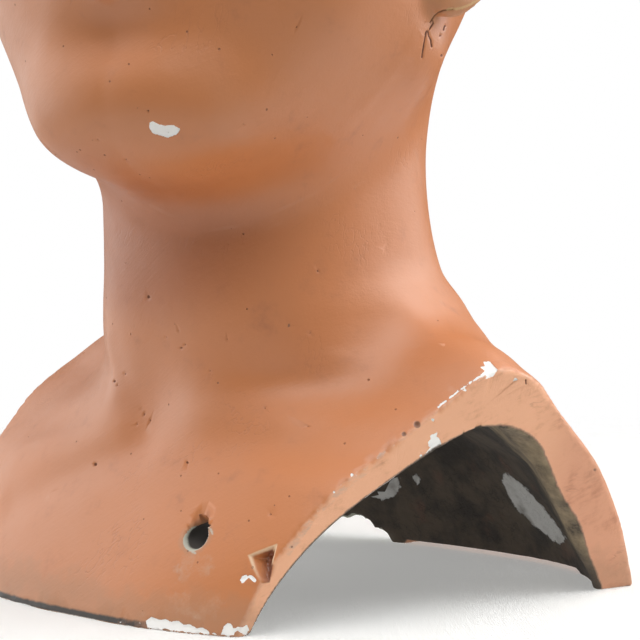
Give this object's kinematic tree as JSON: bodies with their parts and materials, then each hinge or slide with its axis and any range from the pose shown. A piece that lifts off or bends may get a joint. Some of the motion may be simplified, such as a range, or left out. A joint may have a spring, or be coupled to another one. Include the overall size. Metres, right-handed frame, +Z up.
{
  "type": "mannequin head",
  "caption": "Hollow plaster display head on its own bust, with sawn arched shoulders, a worn skin-coloured paint and a broken back foot.",
  "frame": {"origin": "on the surface it stands on, under the middle of its box", "axes": "+Z up, the bust faces -Y and its left is +X; the head is turned 16 degrees to its left"},
  "size_m": [0.1814, 0.2022, 0.3317],
  "materials": {
    "painted_plaster": "semi-matte skin-coloured oil paint on cast plaster, worn to white at the edges"
  },
  "bodies": {
    "root": {"head_and_bust": "painted_plaster"}
  },
  "joints": []
}
